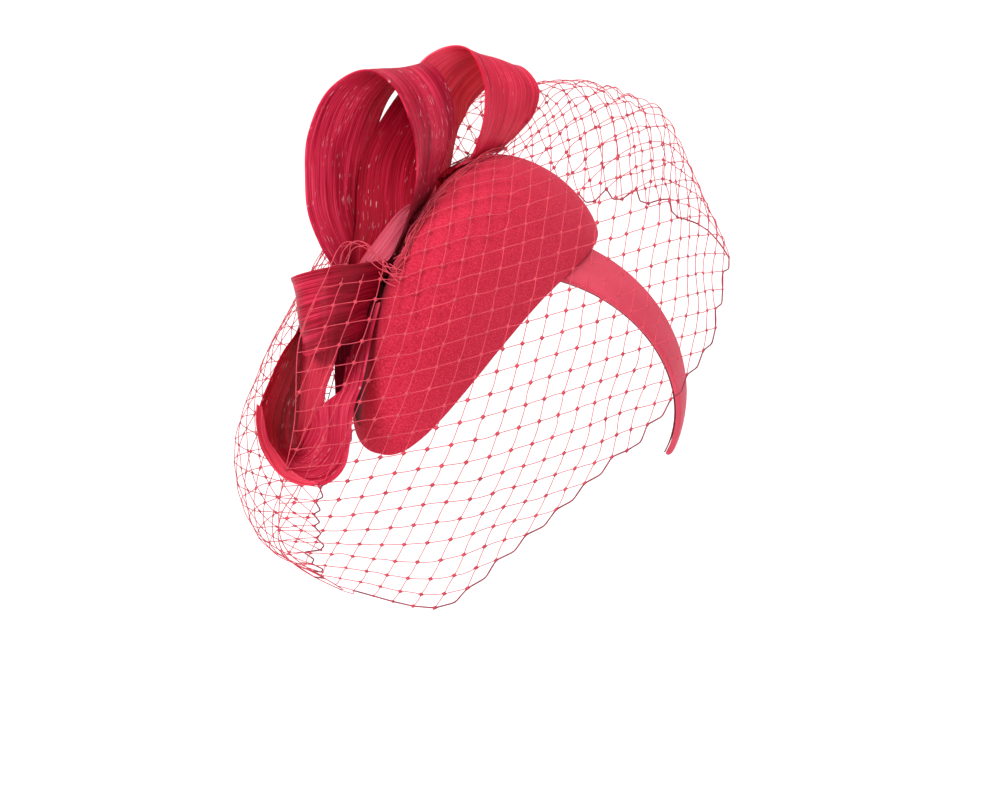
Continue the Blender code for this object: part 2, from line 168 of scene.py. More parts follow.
# Lines of the veil from the gather down to the rim, in mm, in order round the hat. The first
# passes in front of the knot and the low loop, the last behind them, and they meet below.
VEIL = (
    ((-46, -85, 36), (-62, -92, 48), (-65, -115, 40), (-71, -135, 19), (-72, -145, -19),
     (-80, -150, -62), (-81, -140, -94), (-59, -129, -117)),
    ((-42, -86, 32), (-26, -108, 8), (-12, -134, -40), (-3, -138, -115)),
    ((-39, -79, 37), (-11, -97, 18), (23, -111, -33), (41, -101, -81)),
    ((-37, -65, 43), (3, -70, 28), (43, -73, -18), (69, -62, -59)),
    ((-34, -52, 48), (15, -34, 38), (58, -26, 0), (85, -16, -50)),
    ((-29, -34, 52), (20, 1, 51), (62, 27, 17), (88, 50, -30)),
    ((-23, -12, 52), (19, 40, 59), (55, 77, 24), (66, 96, -32)),
    ((-19, 14, 50), (-2, 60, 63), (24, 112, 34), (28, 118, -32)),
    ((-28, 24, 44), (-46, 54, 54), (-42, 106, 28), (-21, 118, -46)),
    ((-47, -4, 38), (-78, 12, 36), (-98, 54, -10), (-65, 81, -75)),
    ((-54, -44, 30), (-92, -36, 4), (-124, -22, -54), (-85, -9, -121)),
    ((-58, -62, 26), (-99, -62, -16), (-122, -94, -68), (-115, -94, -111), (-75, -83, -130)),
    ((-50, -82, 27), (-66, -84, -2), (-72, -100, -33), (-79, -121, -62), (-86, -134, -78),
     (-81, -140, -94), (-59, -129, -117)),
)
CELL = 10.6 * MM                   # one side of a net mesh
NET_TURN = math.radians(169.5)     # direction of the meshes' long diagonal on the flat veil
NET_OPEN = math.radians(58)        # angle between the two families of strands
VEIL_SMOOTHING = 30                # rounds
NOWHERE = -9.0                     # station of a knot that is far from the veil
FLAT_COLUMN = 12                   # coarse column whose length sets the flat fan's spread
FLAT_STEPS = 2600
FLAT_EASE = 1500                   # steps over which the springs come to their real lengths
STRAND_RADIUS = 0.21 * MM
BORDER_RADIUS = 0.38 * MM
KNOT_REACH = 1.5 * MM
KNOT_WAIST = 0.95 * MM
KNOT_HALF = 0.42 * MM


# ---------------- shapes shared with the CAD

def catmull(stations, count):
    """Points of a Catmull-Rom curve through stations (n, ...), evenly spaced in stations."""
    stations = np.asarray(stations, float)
    last = len(stations) - 1
    at = np.linspace(0, last, count)
    low = np.clip(np.floor(at).astype(int), 0, last - 1)
    f = (at - low).reshape(at.shape + (1,) * (stations.ndim - 1))
    p = [stations[np.clip(low + k, 0, last)] for k in (-1, 0, 1, 2)]
    return 0.5 * (2 * p[1] + (p[2] - p[0]) * f + (2 * p[0] - 5 * p[1] + 4 * p[2] - p[3]) * f ** 2
                  + (3 * p[1] - p[0] - 3 * p[2] + p[3]) * f ** 3)


def unit(vectors):
    return vectors / np.maximum(np.linalg.norm(vectors, axis=-1, keepdims=True), 1e-12)


def hat_drop(a, b):
    bend = np.where(b > 0, HAT_SIDE_BEND, HAT_FAR_BEND)
    return a * a / (2 * HAT_BEND) + b * b / (2 * bend)


def hat_reach(a, b, inset=0.0):
    along = a / (HAT_HALF_LENGTH - inset)
    width = (HAT_HALF_WIDTH - inset) * (1 - HAT_NARROWING * np.clip(along, -1, 1))
    return (np.abs(along) ** HAT_SQUARENESS + np.abs(b / width) ** HAT_SQUARENESS) ** (1 / HAT_SQUARENESS)


def hat_height(a, b, inset=0.0, cut=0.0):
    reach = np.minimum(hat_reach(a, b, inset), 1.0)
    dome = (HAT_HEIGHT - cut) * (1 - reach ** 3) ** 0.6
    trench = TRENCH_DEPTH * np.exp(-((b - TRENCH_SIDE) / TRENCH_HALF) ** 2)
    return dome - trench * np.minimum(1.0, dome / HAT_HEIGHT * 1.4) - hat_drop(a, b)


def from_hat(a, b, up):
    return (HAT_CENTRE + HAT_LONG * np.asarray(a)[..., None] + HAT_SIDE * np.asarray(b)[..., None]
            + HAT_UP * np.asarray(up)[..., None])


def outline(turn, inset=0.0):
    power = 2 / HAT_SQUARENESS
    c, s = np.cos(turn), np.sin(turn)
    along = np.sign(c) * np.abs(c) ** power
    across = np.sign(s) * np.abs(s) ** power
    return ((HAT_HALF_LENGTH - inset) * along,
            (HAT_HALF_WIDTH - inset) * across * (1 - HAT_NARROWING * along))


def lifted(points, clear):
    """Points kept above the felt by a clearance."""
    rel = points - HAT_CENTRE
    a, b, up = rel @ HAT_LONG, rel @ HAT_SIDE, rel @ HAT_UP
    free = (hat_reach(a, b) > 1.04) | (up < -HAT_HEIGHT)
    rise = np.where(free, 0.0, np.maximum(0.0, hat_height(a, b) + clear - up))
    return points + HAT_UP * rise[..., None]


def band_width(angle):
    share = 1.0 - np.minimum(np.abs(angle) / BAND_SWEEP, 1.0)
    return BAND_TIP_WIDTH + (BAND_CROWN_WIDTH - BAND_TIP_WIDTH) * share ** BAND_TAPER


def band_point(angle, lift, side):
    """A point of the band from arrays of angle, lift off the head side and side along Y."""
    start = math.asin(BAND_FLAT / BAND_RADIUS)
    held = np.sign(angle) * np.maximum(np.abs(angle), start)
    drop = BAND_RADIUS * math.cos(start)
    reach = BAND_RADIUS + lift
    flat = np.abs(angle) < 1e-9
    x = np.where(flat, 0.0, reach * np.sin(held))
    z = np.where(flat, lift, reach * np.cos(held) - drop)
    return np.stack(np.broadcast_arrays(x, side, z), -1)


# ---------------- mesh helpers

def mesh_object(name, points, faces, mat, uvs=None):
    """A mesh piece from points, faces and, for each face, its corners' UVs in metres."""
    mesh = bpy.data.meshes.new(name)
    mesh.from_pydata([tuple(p) for p in np.asarray(points).reshape(-1, 3)], [], faces)
    if uvs is not None:
        layer = mesh.uv_layers.new(name="UVMap")
        layer.data.foreach_set("uv", np.asarray(uvs, np.float32).ravel())
    mesh.validate()
    bm = bmesh.new()
    bm.from_mesh(mesh)
    bmesh.ops.recalc_face_normals(bm, faces=bm.faces)
    bm.to_mesh(mesh)
    bm.free()
    mesh.shade_smooth()
    mesh.materials.append(mat)
    obj = bpy.data.objects.new(name, mesh)
    bpy.context.scene.collection.objects.link(obj)
    return obj


def grid_faces(rows, cols, ring_cols=False):
    """Quads of a grid of rows x cols points, and each corner's unwrapped (row, column)."""
    faces, corners = [], []
    for i in range(rows - 1):
        for j in range(cols if ring_cols else cols - 1):
            around = ((i, j), (i, j + 1), (i + 1, j + 1), (i + 1, j))
            faces.append(tuple(r * cols + c % cols for r, c in around))
            corners += around
    return faces, corners


def surface(name, grid, mat, across=None, along=None, ring_cols=False):
    """A piece from a grid of points. across and along give the UVs per unwrapped corner."""
    faces, corners = grid_faces(*grid.shape[:2], ring_cols)
    uvs = None
    if across is not None:
        uvs = [(across[r, c], along[r, c]) for r, c in corners]
    return mesh_object(name, grid.reshape(-1, 3), faces, mat, uvs)


def normals_of(grid):
    return unit(np.cross(np.gradient(grid, axis=1), np.gradient(grid, axis=0)))


def solidify(obj, thick, offset=0.0):
    mod = obj.modifiers.new("Thickness", "SOLIDIFY")
    mod.thickness = thick
    mod.offset = offset


def tube_parts(paths, radius, sides=6, refs=(0.31, 0.42, 0.85)):
    """Points and quads of many open tubes along paths (n, k, 3), each turned by its reference."""
    paths = np.asarray(paths, float)
    count, steps = paths.shape[:2]
    tangent = unit(np.gradient(paths, axis=1))
    side = unit(np.cross(tangent, np.broadcast_to(np.atleast_2d(refs)[:, None], paths.shape)))
    other = np.cross(tangent, side)
    turn = np.arange(sides) * 2 * np.pi / sides
    rings = (paths[:, :, None] + radius
             * (side[:, :, None] * np.cos(turn)[:, None] + other[:, :, None] * np.sin(turn)[:, None]))
    base, _ = grid_faces(steps, sides, ring_cols=True)
    faces = (np.array(base)[None] + (np.arange(count) * steps * sides)[:, None, None]).reshape(-1, 4)
    return rings.reshape(-1, 3), faces


def tubes(name, paths, radius, mat, sides=6):
    points, faces = tube_parts(paths, radius, sides)
    return mesh_object(name, points, faces.tolist(), mat)


def run_length(points):
    """The length along a polyline from its first point to each of its points."""
    return np.concatenate([[0.0], np.cumsum(np.linalg.norm(np.diff(points, axis=0), axis=1))])


def along_path(points, count):
    """The polyline resampled to evenly spaced points."""
    points = np.asarray(points, float)
    run = run_length(points)
    at = np.linspace(0, run[-1], count)
    return np.stack([np.interp(at, run, points[:, k]) for k in range(3)], -1)


def wobble(x, seed, waves=7, low=1.0, high=6.0):
    """Smooth noise of one variable, about -1 to 1."""
    rng = np.random.default_rng(seed)
    freq = rng.uniform(low, high, waves)
    phase = rng.uniform(0, 2 * np.pi, waves)
    gain = rng.uniform(0.5, 1.0, waves)
    return sum(g * np.sin(f * x + p) for f, p, g in zip(freq, phase, gain)) / math.sqrt(waves)


# ---------------- materials

WHITE = (1.0, 1.0, 1.0)
FIBRE_STOPS = (0.41, 0.50, 0.59)   # where the abaca's dark, middle and light tones stand
UV_MM = (1000, 1000, 1)            # scale that turns UVs in metres into mm


class Shader:
    """A procedural material with a Principled shader and short ways to add nodes."""

    def __init__(self, name, **sockets):
        self.mat = bpy.data.materials.new(name)
        self.mat.use_nodes = True
        self.tree = self.mat.node_tree
        self.bsdf = self.tree.nodes["Principled BSDF"]
        for key, value in sockets.items():
            self.bsdf.inputs[key.replace("_", " ")].default_value = value

    def node(self, kind, values=(), **settings):
        """A new node. values are its inputs, each a number, a vector or another node's output."""
        made = self.tree.nodes.new("ShaderNode" + kind)
        for key, value in settings.items():
            setattr(made, key, value)
        for key, value in dict(values).items():
            if isinstance(value, bpy.types.NodeSocket):
                self.tree.links.new(value, made.inputs[key])
            else:
                made.inputs[key].default_value = value
        return made

    def place(self, uv=False, scale=(1, 1, 1), turn=0.0):
        """Object coordinates, or UVs in metres, scaled."""
        if uv:
            source = self.node("UVMap", uv_map="UVMap").outputs[0]
        else:
            source = self.node("TexCoord").outputs["Object"]
        return self.node("Mapping", {"Vector": source, "Scale": scale,
                                               "Rotation": (0, 0, turn)}).outputs[0]

    def noise(self, where, scale=1.0, detail=2.0, rough=0.5, distort=0.0):
        return self.node("TexNoise", {
            "Vector": where, "Scale": scale, "Detail": detail, "Roughness": rough,
            "Distortion": distort}).outputs["Fac"]

    def stretched(self, across, along, *noise):
        """Noise over a strip's UVs, this many times finer across it and along it."""
        return self.noise(self.place(True, (across, along, 1)), 1, *noise)

    def wave(self, where, scale, distort=0.0):
        values = {"Vector": where, "Scale": scale, "Distortion": distort}
        return self.node("TexWave", values, bands_direction="X").outputs["Fac"]

    def ramp(self, fac, *stops):
        made = self.node("ValToRGB", {"Fac": fac})
        points = made.color_ramp.elements
        while len(points) < len(stops):
            points.new(0.5)
        for point, (at, colour) in zip(points, stops):
            point.position = at
            point.color = (*colour, 1) if hasattr(colour, "__len__") else (colour, colour, colour, 1)
        return made.outputs["Color"]

    def mix(self, fac, a, b, kind="MIX"):
        a, b = (v if isinstance(v, bpy.types.NodeSocket) else (*v, 1) for v in (a, b))
        return self.node("Mix", {0: fac, 6: a, 7: b}, data_type="RGBA",
                         blend_type=kind).outputs[2]

    def darkened(self, colour, by):
        return self.mix(1.0, colour, by, "MULTIPLY")

    def math(self, kind, a, b):
        return self.node("Math", {0: a, 1: b}, operation=kind).outputs[0]

    def total(self, *terms):
        """The sum of terms, each a value times its share."""
        parts = [self.math("MULTIPLY", value, share) for value, share in terms]
        whole = parts[0]
        for part in parts[1:]:
            whole = self.math("ADD", whole, part)
        return whole

    def bump(self, height, strength, distance, under=None):
        values = {"Height": height, "Strength": strength, "Distance": distance}
        if under is not None:
            values["Normal"] = under
        return self.node("Bump", values).outputs[0]

    def out(self, socket, value):
        self.tree.links.new(value, self.bsdf.inputs[socket])

    def done(self, colour, varied, rough, normal):
        """The material, with a roughness that follows a varied value between two bounds."""
        self.out("Base Color", colour)
        self.out("Roughness", self.ramp(varied, (0.3, rough[0]), (0.7, rough[1])))
        self.out("Normal", normal)
        return self.mat


def felt():
    """Wool felt, with painted shade in the trench, from a point attribute of the shell."""
    s = Shader("wool_felt", Sheen_Weight=0.16, Sheen_Roughness=0.5, Sheen_Tint=(1.0, 0.32, 0.42, 1),
               Specular_IOR_Level=0.12)
    grain = s.noise(s.place(), 1700, 4, 0.7)
    hairs = s.noise(s.place(False, (900, 2600, 1500), 0.6), 1, 3, 0.6, 1.2)
    broad = s.noise(s.place(), 26, 2, 0.5)
    colour = s.ramp(s.total((grain, 0.6), (hairs, 0.4)), (0.35, (0.37, 0.006, 0.023)),
                    (0.50, (0.57, 0.019, 0.051)), (0.65, (0.81, 0.062, 0.118)))
    colour = s.darkened(colour, s.ramp(broad, (0.3, (0.92, 0.86, 0.88)), (0.7, WHITE)))
    # Painted shade: this attribute darkens the felt almost to black along the trench.
    crease_shade = s.node("Attribute", attribute_name="crease_shade").outputs["Fac"]
    colour = s.darkened(colour, s.ramp(crease_shade, (0.25, WHITE), (0.85, (0.10, 0.04, 0.05))))
    under = s.bump(hairs, 0.25, 0.0004)
    return s.done(colour, grain, (0.85, 1.0), s.bump(grain, 0.38, 0.0004, under))


def abaca(name, tones, pinhole_light=0.0, glow=0.0, gloss=0.16, other=None, where=(), end_shade=None):
    """Silk abaca in a dark, a middle and a light tone: long fine fibres along the strip, pale dashes of
    painted light through pinholes, and a satin sheen. The colour takes the other three tones, painted light
    on some strips and painted shade on others, where the ramp over the strip's length, in shares of 250 mm,
    goes up to 1, and painted shade darkens it between the two shares in the last argument."""
    s = Shader(name, Anisotropic=0.6, Sheen_Weight=0.03, Sheen_Roughness=0.35,
               Sheen_Tint=(1.0, 0.3, 0.4, 1), Specular_IOR_Level=gloss)
    fine = s.stretched(2300, 26, 4, 0.6, 0.15)
    bands = s.stretched(420, 9, 3, 0.55)
    cross = s.stretched(60, 700, 2, 0.5)
    broad = s.stretched(55, 22, 2, 0.5)
    if other or end_shade:
        run = s.node("SeparateXYZ", {0: s.place(True, (1, 4, 1))}).outputs[1]
    tone = s.total((fine, 0.56), (bands, 0.24), (broad, 0.20))
    colour = s.ramp(tone, *zip(FIBRE_STOPS, tones))
    # Painted light on the tall, rear and low strips and painted shade on the knot: other tones over part of
    # the strip's length.
    if other:
        colour = s.mix(s.ramp(run, *where), colour, s.ramp(tone, *zip(FIBRE_STOPS, other)))
    # Painted shade towards the strip's end, where it goes down into the trench.
    if end_shade:
        colour = s.darkened(colour, s.ramp(run, (end_shade[0], WHITE), (end_shade[1], (0.16, 0.05, 0.07))))
    # Painted light: pale dashes where light comes through pinholes between the fibres.
    if pinhole_light:
        pinhole_dash = s.stretched(1900, 180, 1, 0.4)
        patch = s.stretched(75, 28, 1, 0.5)
        pinhole_mask = s.math("MULTIPLY", s.ramp(pinhole_dash, (0.675, 0.0), (0.725, 1.0)),
                       s.ramp(patch, (0.42, 0.0), (0.58, pinhole_light)))
        colour = s.mix(pinhole_mask, colour, (0.90, 0.50, 0.54))
    if glow:
        s.bsdf.inputs["Subsurface Weight"].default_value = glow
        s.bsdf.inputs["Subsurface Scale"].default_value = 0.003
        s.bsdf.inputs["Subsurface Radius"].default_value = (1.0, 0.2, 0.2)
    s.out("Tangent", s.node("Tangent", direction_type="UV_MAP", uv_map="UVMap").outputs[0])
    ridges = s.math("ADD", fine, s.math("MULTIPLY", bands, 0.8))
    return s.done(colour, fine, (0.34, 0.58), s.bump(ridges, 0.5, 0.0004, s.bump(cross, 0.10, 0.0003)))


def crepe():
    """The band's cover: fine twill over a smooth base."""
    s = Shader("band_crepe", Sheen_Weight=0.12, Sheen_Roughness=0.4, Sheen_Tint=(1.0, 0.6, 0.66, 1),
               Specular_IOR_Level=0.25)
    rib = s.wave(s.place(True, UV_MM, 0.6), 0.55, 0.6)
    thread = s.wave(s.place(True, UV_MM, -0.95), 0.7, 0.8)
    soft = s.stretched(60, 30, 3, 0.5)
    grain = s.stretched(2600, 2600, 2, 0.6)
    colour = s.ramp(s.total((rib, 0.25), (grain, 0.35), (soft, 0.4)), (0.28, (0.50, 0.022, 0.055)),
                    (0.5, (0.60, 0.044, 0.085)), (0.72, (0.70, 0.080, 0.13)))
    weave = s.math("ADD", rib, s.math("MULTIPLY", thread, 0.6))
    return s.done(colour, soft, (0.52, 0.66), s.bump(weave, 0.22, 0.00025))


def grained(name, dark, light, fine, share, broad, rough, depth, **sockets):
    """Two tones that follow a fine and a broad noise. depth is the fine one's bump."""
    s = Shader(name, **sockets)
    grain = s.noise(s.place(), *fine)
    tone = s.total((grain, share), (s.noise(s.place(), broad, 2, 0.5), 1 - share))
    return s.done(s.ramp(tone, (0.35, dark), (0.65, light)), grain, (rough, rough + 0.2),
                  s.bump(grain, *depth))


def lining(name, dark, light, rough=0.55):
    return grained(name, dark, light, (1400, 2, 0.6), 0.5, 60, rough, (0.3, 0.0003),
                   Sheen_Weight=0.3, Sheen_Roughness=0.35)


def petersham():
    """Ribbed ribbon."""
    s = Shader("petersham_rib", Sheen_Weight=0.2, Sheen_Roughness=0.4)
    rib = s.wave(s.place(True, UV_MM), 0.28, 0.1)
    fine = s.stretched(2500, 600, 2, 0.5)
    colour = s.ramp(s.total((rib, 0.6), (fine, 0.4)), (0.2, (0.25, 0.008, 0.025)),
                    (0.8, (0.50, 0.022, 0.055)))
    return s.done(colour, fine, (0.5, 0.7), s.bump(rib, 0.5, 0.0004))


def yarn(name, dark, light):
    """Thread: fine twist, a little gloss."""
    return grained(name, dark, light, (2500, 2, 0.5), 0.4, 90, 0.42, (0.25, 0.0002),
                   Specular_IOR_Level=0.15)


def plastic():
    s = Shader("core_plastic", Specular_IOR_Level=0.5)
    flow = s.noise(s.place(), 160, 3, 0.5)
    colour = s.ramp(flow, (0.3, (0.78, 0.77, 0.73)), (0.7, (0.86, 0.85, 0.82)))
    return s.done(colour, flow, (0.38, 0.5), s.bump(flow, 0.1, 0.0002))


# Each abaca's tones, painted pinhole light, glow, gloss, other tones of painted light and shade, where those
# are, and the span of painted shade at its end.
ABACA = {
    # tall: painted light up to the loop's top, darker tones for painted shade beyond it, and painted shade
    # at its lower end in the trench
    "tall": (((0.19, 0.0, 0.010), (0.38, 0.003, 0.028), (0.66, 0.030, 0.078)), 1.0, 0.3, 0.12,
             ((0.28, 0.003, 0.018), (0.58, 0.014, 0.058), (0.92, 0.070, 0.15)),
             ((0.43, 1.0), (0.51, 0.0)), (0.68, 0.83)),
    "inner": (((0.20, 0.0, 0.007), (0.37, 0.001, 0.018), (0.58, 0.014, 0.050)), 0.8, 0.05, 0.06),
    # rear: painted light on the first part of the loop
    "rear": (((0.32, 0.002, 0.018), (0.56, 0.013, 0.048), (0.80, 0.052, 0.11)), 0.3, 0.6, 0.12,
             ((0.50, 0.020, 0.050), (0.76, 0.055, 0.11), (0.92, 0.13, 0.19)),
             ((0.30, 1.0), (0.36, 0.0))),
    # low, also the trench twist: dark tones for painted shade inside the loop, painted light on its bottom
    # and near limb
    "low": (((0.15, 0.0, 0.003), (0.30, 0.001, 0.010), (0.56, 0.014, 0.040)), 0.7, 0.05, 0.04,
            ((0.30, 0.004, 0.018), (0.54, 0.018, 0.055), (0.82, 0.075, 0.14)),
            ((0.27, 0.0), (0.34, 1.0))),
    "tail": (((0.44, 0.012, 0.034), (0.66, 0.038, 0.078), (0.82, 0.095, 0.15)), 0.0, 0.2),
    # knot: painted shade on its first part, where it turns into the trench
    "knot": (((0.19, 0.0, 0.010), (0.38, 0.003, 0.024), (0.68, 0.032, 0.084)), 0.0, 0.05, 0.12,
             ((0.10, 0.0, 0.004), (0.21, 0.001, 0.010), (0.40, 0.010, 0.034)),
             ((0.15, 1.0), (0.20, 0.0))),
    "pale": (((0.48, 0.040, 0.080), (0.64, 0.080, 0.13), (0.80, 0.16, 0.22)), 0.0, 0.3),
    # a near-black tone for the side ribbon: painted shade along the trench
    "painted_shade": (((0.11, 0.002, 0.014), (0.20, 0.006, 0.028), (0.33, 0.015, 0.05)), 0.0, 0.0, 0.05),
}
MATS = {
    "felt": felt(),
    **{name: abaca("abaca_" + name, *looks) for name, looks in ABACA.items()},
    "crepe": crepe(),
    "lining": lining("satin_lining", (0.26, 0.006, 0.02), (0.44, 0.018, 0.045)),
    "backing": lining("velvet_backing", (0.12, 0.002, 0.009), (0.24, 0.006, 0.020), 0.8),
    "petersham": petersham(),
    "net": yarn("net_thread", (0.48, 0.042, 0.070), (0.74, 0.075, 0.11)),
    "cord": yarn("border_thread", (0.18, 0.020, 0.045), (0.38, 0.045, 0.075)),
    "thread": yarn("sewing_thread", (0.50, 0.020, 0.055), (0.74, 0.06, 0.12)),
    "plastic": plastic(),
    "wire": yarn("wire_wrapping", (0.16, 0.004, 0.014), (0.34, 0.014, 0.035)),
}


def finished(obj, slot, *nodes, body="root"):
    """Hide the CAD parts that a piece stands for and, if a body is given, put the piece on it. slot is not
    used.
    """
    if nodes:
        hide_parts(*nodes)
    if body is not None:
        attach(obj, body)


# ---------------- stage and camera

def stage():
    scene = bpy.context.scene
    scene.view_settings.view_transform = "Standard"
    position = Vector((0.341, -1.188, 0.657))
    aim = Vector((-0.0085, -0.035, -0.060))
    roll = math.radians(-1.2)
    ahead = (aim - position).normalized()
    level = ahead.cross(Vector((0, 0, 1))).normalized()
    above = level.cross(ahead)
    right = level * math.cos(roll) + above * math.sin(roll)
    up = above * math.cos(roll) - level * math.sin(roll)
    turned = Matrix((right, up, -ahead)).transposed().to_4x4()
    turned.translation = position
    lens = bpy.data.cameras.new("camera")
    lens.lens = 105
    lens.sensor_width = 36
    camera = bpy.data.objects.new("camera", lens)
    scene.collection.objects.link(camera)
    camera.matrix_world = turned
    scene.camera = camera

    world = bpy.data.worlds.new("studio")
    world.use_nodes = True
    back = world.node_tree.nodes["Background"]
    back.inputs["Color"].default_value = (1.0, 1.0, 1.0, 1)
    back.inputs["Strength"].default_value = 0.52
    scene.world = world

    floor_shader = Shader("pale_floor", Roughness=0.9, Specular_IOR_Level=0.1)
    tone = floor_shader.noise(floor_shader.place(), 3, 2)
    floor_shader.out("Base Color", floor_shader.ramp(tone, (0.3, 0.93), (0.7, 0.95)))
    floor = surface("floor", np.array([[(x, y, -0.34) for x in (-30.0, 30.0)] for y in (-30.0, 30.0)]),
                    floor_shader.mat)

    for name, place, size, power in (("key", (-0.9, -1.5, 1.7), 1.1, 43),
                                     ("fill", (1.6, -1.0, 0.9), 1.4, 12),
                                     ("top", (0.2, 0.9, 1.8), 1.4, 26)):
        lamp = bpy.data.lights.new(name, "AREA")
        lamp.shape = "SQUARE"
        lamp.size = size
        lamp.energy = power
        light = bpy.data.objects.new(name, lamp)
        scene.collection.objects.link(light)
        light.location = place
        aimed = Vector((-0.02, -0.02, 0.0)) - light.location
        light.rotation_euler = aimed.to_track_quat("-Z", "Y").to_euler()


# ---------------- felt hat

def dome_rings(turns, rows, crowding, inset=0.0):
    """Rings over the hat's base, crowded towards its edge, as (a, b, share of the way out)."""
    a, b = outline(np.arange(turns) * 2 * np.pi / turns, inset)
    share = (1 - (1 - np.linspace(0.02, 1.0, rows)) ** crowding)[:, None]
    return share * a, share * b, share


def ringed(name, grid, hubs, mat):
    """A piece from rings of points, each (ring, point) of hubs closed by a fan, and its points."""
    turns = grid.shape[1]
    faces, _ = grid_faces(len(grid), turns, ring_cols=True)
    points = grid.reshape(-1, 3).tolist()
    for ring, hub in hubs:
        faces += [(ring * turns + k, ring * turns + (k + 1) % turns, len(points)) for k in range(turns)]
        points.append(hub)
    return mesh_object(name, points, faces, mat), np.array(points)


def felt_shell():
    a, b, _ = dome_rings(200, 64, 2.2)
    uneven = 0.18 * MM * wobble(a * 90 + b * 60, 3) * wobble(b * 110 - a * 40, 4)
    outer = from_hat(a, b, hat_height(a, b) + uneven)
    wrapped = np.concatenate([outer[:, -1:], outer, outer[:, :1]], axis=1)
    normal = normals_of(wrapped)[:, 1:-1]
    normal *= np.sign((normal[0] @ HAT_UP).mean())
    side = unit(outer[-1] - HAT_CENTRE - ((outer[-1] - HAT_CENTRE) @ HAT_UP)[:, None] * HAT_UP)
    normal[-1] = side
    normal[-2] = unit(normal[-2] + side)
    inner = outer - normal * FELT_THICK
    middle = (outer[-1] + inner[-1]) / 2
    lip = [middle + (outer[-1] - middle) * math.cos(t) - HAT_UP * FELT_THICK / 2 * math.sin(t)
           for t in np.linspace(0, math.pi, 7)[1:-1]]
    grid = np.concatenate([outer, lip, inner[::-1]])
    hubs = [(ring, from_hat(0.0, 0.0, hat_height(0.0, 0.0) + up))
            for ring, up in ((0, 0.0), (len(grid) - 1, -FELT_THICK))]
    obj, points = ringed("felt_shell", grid, hubs, MATS["felt"])
    # Painted shade: a point attribute, highest along the trench, that darkens the felt there.
    rel = points - HAT_CENTRE
    off = (rel @ HAT_SIDE - TRENCH_SIDE) / TRENCH_HALF
    on_top = hat_reach(rel @ HAT_LONG, rel @ HAT_SIDE) < CREASE_SHADE_REACH
    layer = obj.data.attributes.new("crease_shade", "FLOAT", "POINT")
    layer.data.foreach_set("value", (np.exp(-(off / CREASE_SHADE_WIDTH) ** 2) * on_top).astype(np.float32))
    finished(obj, "felt", "hat_shell")


def ring_points(inset, up, turns):
    a, b = outline(np.arange(turns) * 2 * np.pi / turns, inset)
    return from_hat(a, b, up - hat_drop(a, b))


def crown_lining(turns=240, pleats=44):
    a, b, share = dome_rings(turns, 26, 2.0, LINING_INSET)
    pleat = 0.35 * MM * share ** 2 * np.sin(np.arange(turns) * 2 * np.pi / turns * pleats)
    turned_in = 1.0 * MM * (share > 0.999)
    grid = from_hat(a, b, hat_height(a, b, LINING_INSET, LINING_CUT) + pleat + turned_in)
    hub = from_hat(0.0, 0.0, hat_height(0.0, 0.0, LINING_INSET, LINING_CUT))
    cloth, _ = ringed("crown_lining", grid, [(0, hub)], MATS["lining"])
    solidify(cloth, 0.5 * MM, -1.0)
    finished(cloth, "lining", "hat_lining")


def petersham_ribbon(turns=360, rows=9):
    levels = np.linspace(0, 1, rows)
    ribs = (0.12 * MM * np.sin(np.arange(turns) * np.pi / 1.5))[:, None]
    rings = [ring_points((8.6 + 1.2 * f) * MM, (1.2 + 8.8 * f) * MM, turns) for f in levels]
    grid = np.array([ring + unit(HAT_CENTRE - ring) * ribs for ring in rings])
    across = np.broadcast_to(run_length(np.concatenate([grid[0], grid[0, :1]])), (rows, turns + 1))
    along = np.broadcast_to(levels[:, None] * RIBBON_WIDTH, (rows, turns + 1))
    ribbon = surface("petersham_ribbon", grid, MATS["petersham"], across, along, ring_cols=True)
    solidify(ribbon, 0.6 * MM)
    finished(ribbon, "lining", "hat_sweatband")


def edge_stitches(count=62):
    """Running stitches round the hat's edge, each as long as the gap to the next."""
    rim = ring_points(8.0 * MM, 1.6 * MM, count * 6)
    dip = -HAT_UP * 0.5 * MM
    paths = [[start, start * 0.75 + end * 0.25 + dip, (start + end) / 2 + dip * 1.3,
              start * 0.25 + end * 0.75 + dip, end] for start, end in zip(rim[::6], rim[3::6])]
    finished(tubes("edge_stitches", paths, SEWING_RADIUS, MATS["thread"]), "thread")


# ---------------- headband

def band_rows(sign):
    """Angles from the crown to just past the tip, and each one's width share."""
    reach = BAND_SWEEP + BAND_TIP / BAND_RADIUS
    angle = np.concatenate([[0.0], np.linspace(math.asin(BAND_FLAT / BAND_RADIUS), BAND_SWEEP - 0.02, 92),
                            np.linspace(BAND_SWEEP, reach, 14)])
    rounding = 2.2 * BAND_TIP
    past = np.clip((angle - (reach - rounding / BAND_RADIUS)) * BAND_RADIUS / rounding, 0, 1)
    return angle * sign, np.sqrt(np.maximum(1 - past ** 2.4, 0.0))


def cover_section(full, part):
    """The cover's path across the band as (lift, side): flap, hem, outer face, hem and flap."""
    low, high = COVER_LIFT
    half = max((full / 2 - 0.25 * MM) * part, 0.3 * MM)
    flap = min(full * 0.26, half * 0.85)
    r = min(COVER_HEM, half * 0.9)
    thick = (high - low) * (0.45 + 0.55 * part)
    hem = [(low + thick / 2 - math.cos(t) * thick / 2, half - r * (1 - math.sin(t)))
           for t in np.linspace(0, math.pi, 7)]
    face = [(low + thick + 0.45 * MM * (1 - side ** 2) * part, side * (half - r))
            for side in np.linspace(-1, 1, 15)[1:-1]]
    flap_edge = [(low, half - flap), (low, half - r * 1.6)]
    near = [(lift, -side) for lift, side in flap_edge + hem]
    return np.array(near + face + hem[::-1] + flap_edge[::-1])


